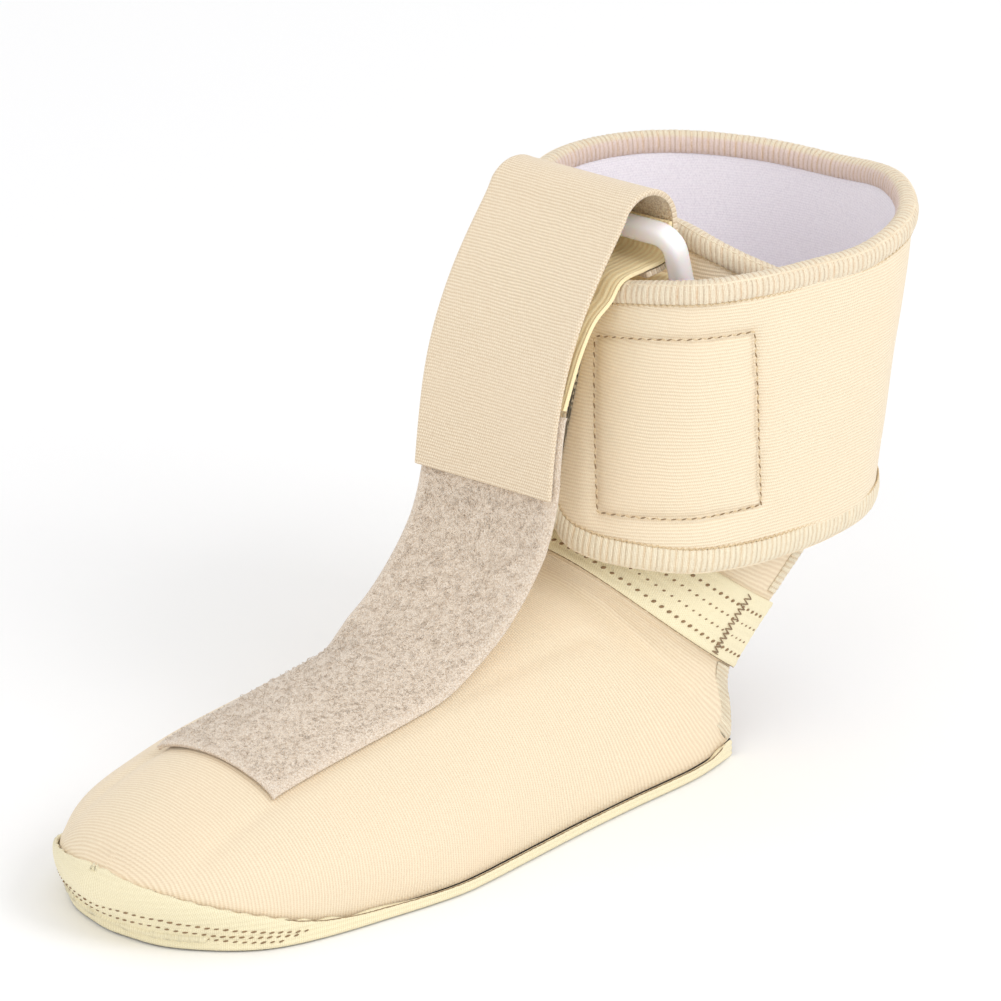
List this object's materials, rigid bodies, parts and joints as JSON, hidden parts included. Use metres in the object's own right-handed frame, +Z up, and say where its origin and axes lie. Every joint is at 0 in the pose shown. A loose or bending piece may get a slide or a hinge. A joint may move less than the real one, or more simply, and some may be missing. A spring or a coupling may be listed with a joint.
{
  "type": "foot drop brace",
  "caption": "Soft open-heel foot part with a padded shin cuff and a lift strap that folds over a plastic ring at the cuff's front.",
  "frame": {"origin": "on the sole's underside, on the centre line, near the ball of the foot", "axes": "+Z up, -Y towards the toe, +Y towards the heel, +X towards the side where the cuff's outer flap closes"},
  "size_m": [0.1061, 0.2722, 0.1628],
  "materials": {
    "upper_fabric": "fine ribbed knit, cream",
    "sole_rubber": "matte, dark",
    "knit_trim": "ribbed elastic knit, cream",
    "cuff_fabric": "fine ribbed knit, cream",
    "lining_knit": "fine knit, pale grey",
    "hook_tape": "fine ribbed tape, matte",
    "ring_plastic": "smooth white",
    "webbing": "ribbed elastic webbing, straw",
    "loop_pile": "soft looped pile"
  },
  "bodies": {
    "root": {"foot_upper": "upper_fabric", "sole": "sole_rubber", "sole_binding": "knit_trim", "ankle_band": "knit_trim", "cuff": "cuff_fabric", "cuff_lining": "lining_knit", "cuff_hook_patch": "hook_tape", "ring": "ring_plastic", "ring_tab": "webbing", "lift_strap": "hook_tape", "lift_webbing": "webbing", "loop_strip": "loop_pile"}
  },
  "joints": []
}
